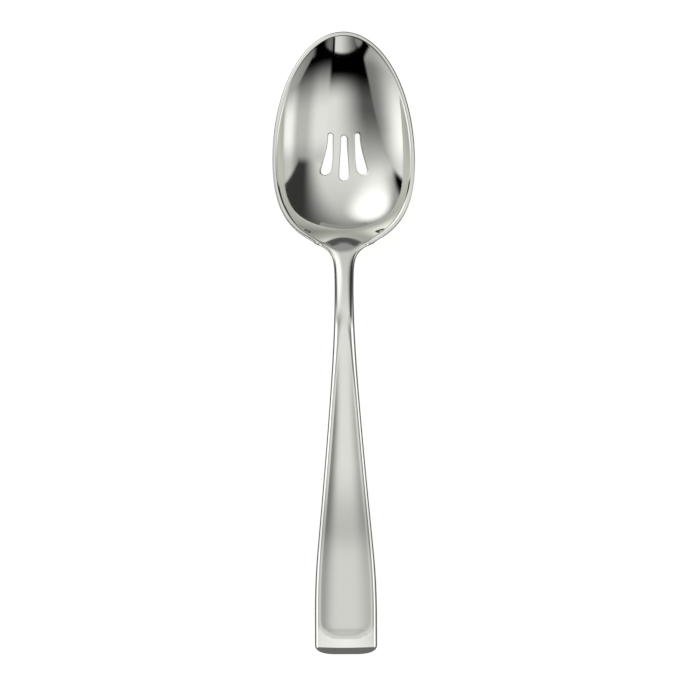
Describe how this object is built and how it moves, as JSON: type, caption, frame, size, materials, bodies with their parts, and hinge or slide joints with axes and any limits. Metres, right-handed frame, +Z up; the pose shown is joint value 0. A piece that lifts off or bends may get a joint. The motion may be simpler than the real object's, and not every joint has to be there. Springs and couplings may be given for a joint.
{
  "type": "slotted serving spoon",
  "caption": "Mirror-polished slotted serving spoon with an egg-shaped pierced bowl, an arched neck and a flared handle with a sunk panel.",
  "frame": {"origin": "middle of the spoon's outline seen from above, on the table that it lies on", "axes": "+Y along the spoon towards the tip of the bowl, +Z up out of the open bowl, +X to the right"},
  "size_m": [0.0494, 0.216, 0.0204],
  "materials": {
    "steel": "stainless steel, mirror polished"
  },
  "bodies": {
    "root": {"bowl": "steel", "neck": "steel", "handle": "steel"}
  },
  "joints": []
}
